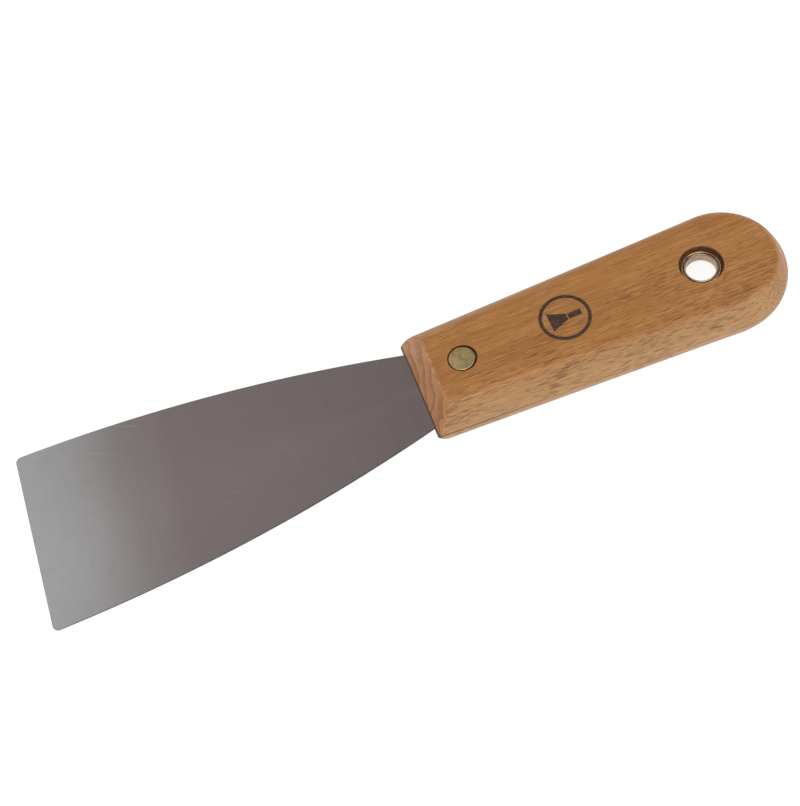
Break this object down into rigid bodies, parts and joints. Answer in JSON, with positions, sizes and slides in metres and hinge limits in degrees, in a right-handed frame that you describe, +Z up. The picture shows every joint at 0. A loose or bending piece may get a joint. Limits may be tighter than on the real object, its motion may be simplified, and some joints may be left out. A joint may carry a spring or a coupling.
{
  "type": "drywall filling knife",
  "caption": "Narrow flexible steel blade that widens to a straight working edge, held between two beech scales by a brass rivet and a brass-lined hang hole.",
  "frame": {"origin": "under the middle of the knife's bounding box, on the plane that the handle's flat underside rests on", "axes": "+X along the knife from the working edge to the butt, +Y across the blade, +Z up, square to the blade's faces"},
  "size_m": [0.1998, 0.05, 0.0155],
  "materials": {
    "blade_steel": "satin ground spring steel with fine grinding lines across the blade",
    "beech": "oiled steamed beech, fine dark flecks along the grain, satin",
    "rivet_brass": "dull brushed brass with light scratches",
    "eyelet_brass": "bright drawn brass"
  },
  "bodies": {
    "root": {"blade": "blade_steel", "upper_scale": "beech", "lower_scale": "beech", "rivet_post": "rivet_brass", "rivet_socket": "rivet_brass", "hang_hole_eyelet": "eyelet_brass", "eyelet_washer": "eyelet_brass"}
  },
  "joints": []
}
